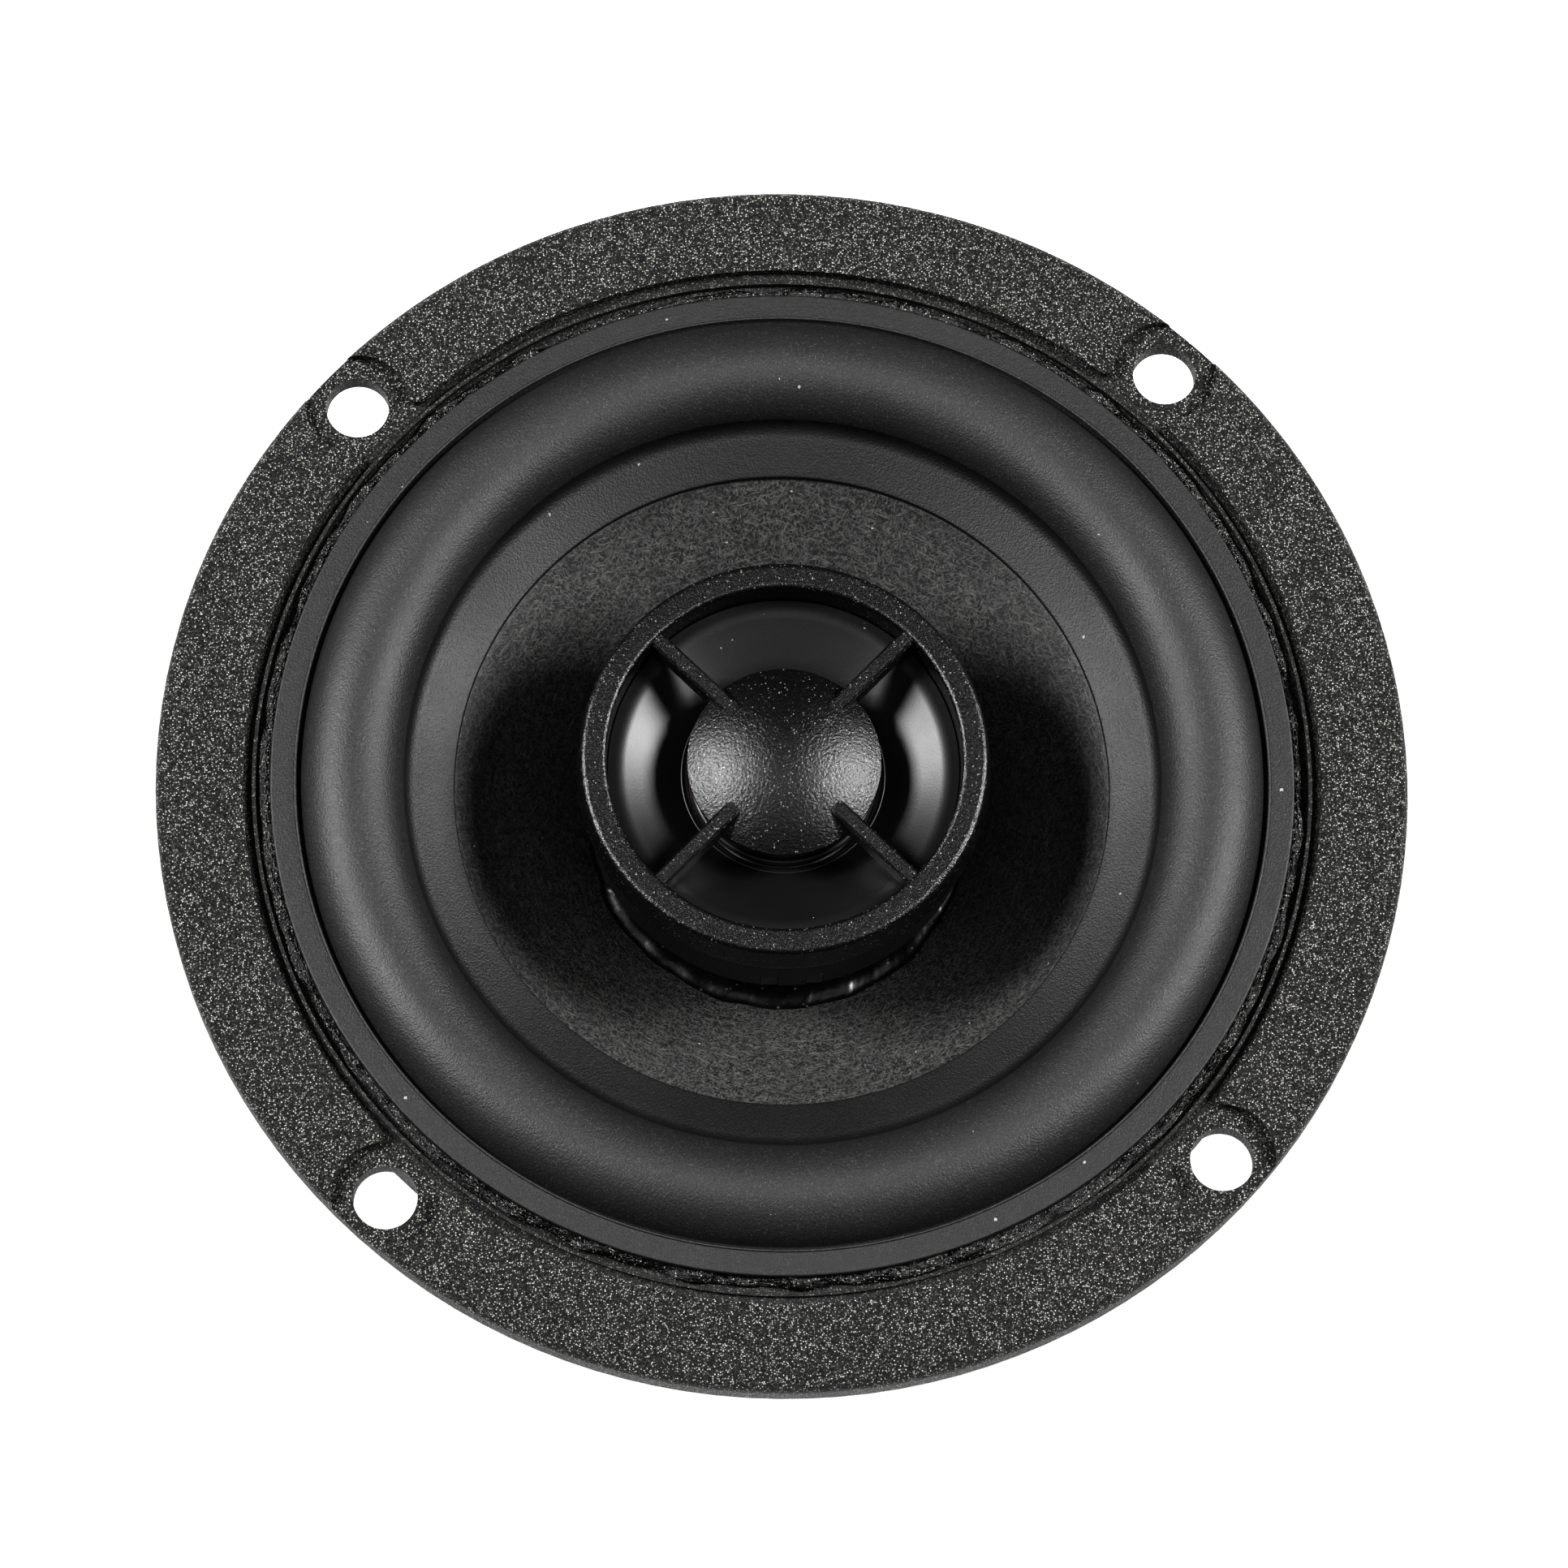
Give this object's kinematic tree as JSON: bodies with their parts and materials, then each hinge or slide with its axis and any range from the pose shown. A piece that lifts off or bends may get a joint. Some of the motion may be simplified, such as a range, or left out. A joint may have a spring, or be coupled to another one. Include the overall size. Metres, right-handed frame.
{
  "type": "coaxial car speaker",
  "caption": "Round coaxial car speaker: cast basket with a screw flange, rubber-edged fibre cone, and a tweeter on a central post behind a spoked grille.",
  "frame": {"origin": "centre of the mounting circle, on the flange's rear mounting face", "axes": "+Z out of the speaker's front along its axis; the terminals lie on the -Y side"},
  "size_m": [0.102, 0.102, 0.0533],
  "materials": {
    "basket": "black textured powder coat",
    "top_plate": "zinc plated",
    "magnet_ring": "ground ferrite",
    "yoke": "zinc plated",
    "motor_screws": "zinc plated",
    "cone": "pressed dyed fibre",
    "neck_adhesive": "wet-looking black adhesive",
    "surround": "satin black",
    "spider": "varnished cloth",
    "voice_coil_former": "thin rolled foil",
    "voice_coil": "enamelled copper winding",
    "lead_eyelets": "plain",
    "tinsel_leads": "braided copper tinsel",
    "tweeter_grille": "fine moulded grain",
    "tweeter_housing": "smooth satin",
    "tweeter_base": "plain moulded",
    "tweeter_waveguide": "satin",
    "tweeter_dome_ring": "dark plated",
    "tweeter_yoke": "zinc plated",
    "tweeter_magnet": "nickel plated",
    "tweeter_pole_washer": "zinc plated",
    "tweeter_dome": "coated silk",
    "tweeter_dome_surround": "coated silk",
    "tweeter_coil_former": "thin rolled foil",
    "tweeter_coil": "enamelled copper winding",
    "tweeter_post": "plain moulded",
    "post_nut": "zinc plated",
    "tweeter_screws": "zinc plated",
    "tweeter_leads": "insulated wire",
    "terminal_board": "laminated fibre board",
    "positive_terminal": "stamped",
    "negative_terminal": "stamped",
    "terminal_rivets": "rolled",
    "board_rivets": "rolled",
    "capacitor": "sleeved can",
    "capacitor_leads": "tinned wire"
  },
  "bodies": {
    "chassis": {"basket": "basket", "top_plate": "top_plate", "magnet_ring": "magnet_ring", "yoke": "yoke", "motor_screws": "motor_screws", "surround": "surround", "spider": "spider", "tinsel_leads": "tinsel_leads", "tweeter_grille": "tweeter_grille", "tweeter_housing": "tweeter_housing", "tweeter_base": "tweeter_base", "tweeter_waveguide": "tweeter_waveguide", "tweeter_dome_ring": "tweeter_dome_ring", "tweeter_yoke": "tweeter_yoke", "tweeter_magnet": "tweeter_magnet", "tweeter_pole_washer": "tweeter_pole_washer", "tweeter_dome_surround": "tweeter_dome_surround", "tweeter_post": "tweeter_post", "post_nut": "post_nut", "tweeter_screws": "tweeter_screws", "tweeter_leads": "tweeter_leads", "terminal_board": "terminal_board", "positive_terminal": "positive_terminal", "negative_terminal": "negative_terminal", "terminal_rivets": "terminal_rivets", "board_rivets": "board_rivets", "capacitor": "capacitor", "capacitor_leads": "capacitor_leads"},
    "cone_assembly": {"cone": "cone", "neck_adhesive": "neck_adhesive", "voice_coil_former": "voice_coil_former", "voice_coil": "voice_coil", "lead_eyelets": "lead_eyelets"},
    "tweeter_diaphragm": {"tweeter_dome": "tweeter_dome", "tweeter_coil_former": "tweeter_coil_former", "tweeter_coil": "tweeter_coil"}
  },
  "joints": [
    {"name": "cone_travel", "type": "slide", "parent": "chassis", "child": "cone_assembly", "axis": [0, 0, 1], "range_m": [-0.003, 0.003], "stiffness_N_per_m": 1500, "deforming": ["surround", "spider", "tinsel_leads"]},
    {"name": "dome_travel", "type": "slide", "parent": "chassis", "child": "tweeter_diaphragm", "axis": [0, 0, 1], "range_m": [-0.0003, 0.0003], "stiffness_N_per_m": 5000, "deforming": ["tweeter_dome_surround"]}
  ]
}
